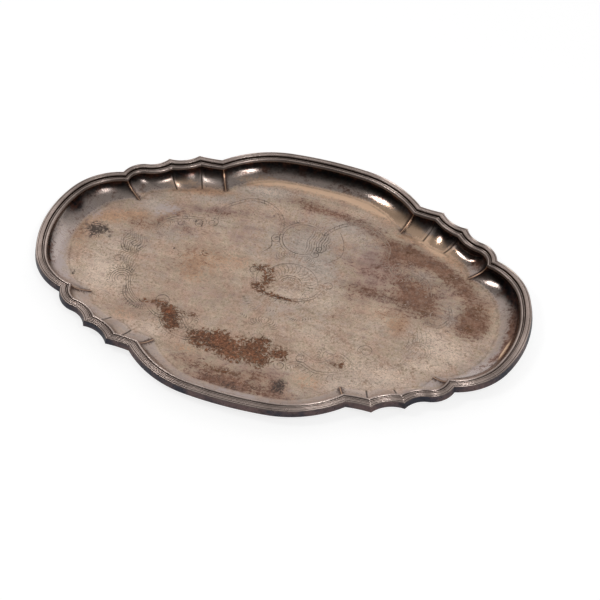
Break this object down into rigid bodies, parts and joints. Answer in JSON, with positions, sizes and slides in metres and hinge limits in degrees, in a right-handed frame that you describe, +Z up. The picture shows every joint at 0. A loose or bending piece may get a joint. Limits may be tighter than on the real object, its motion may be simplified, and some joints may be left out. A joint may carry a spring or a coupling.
{
  "type": "oval serving tray",
  "caption": "Oval silver-plated salver with a lobed outline, a dished well and a reeded applied border in mitred sections.",
  "frame": {"origin": "underside of the field, at the middle of the tray, on the surface that it stands on", "axes": "+X along the long axis, +Y across the tray, +Z up through the open well"},
  "size_m": [0.48, 0.3166, 0.0182],
  "materials": {
    "body_plate": "silver plate on copper, tarnished grey-brown, worn through to the copper in patches",
    "border_plate": "silver-plated white-metal mount, brighter on its ridges and dark in its grooves"
  },
  "bodies": {
    "root": {"tray_body": "body_plate", "border_end_right": "border_plate", "border_end_left": "border_plate", "border_side_front": "border_plate", "border_side_back": "border_plate", "border_corner_front_right": "border_plate", "border_corner_front_left": "border_plate", "border_corner_back_left": "border_plate", "border_corner_back_right": "border_plate"}
  },
  "joints": []
}
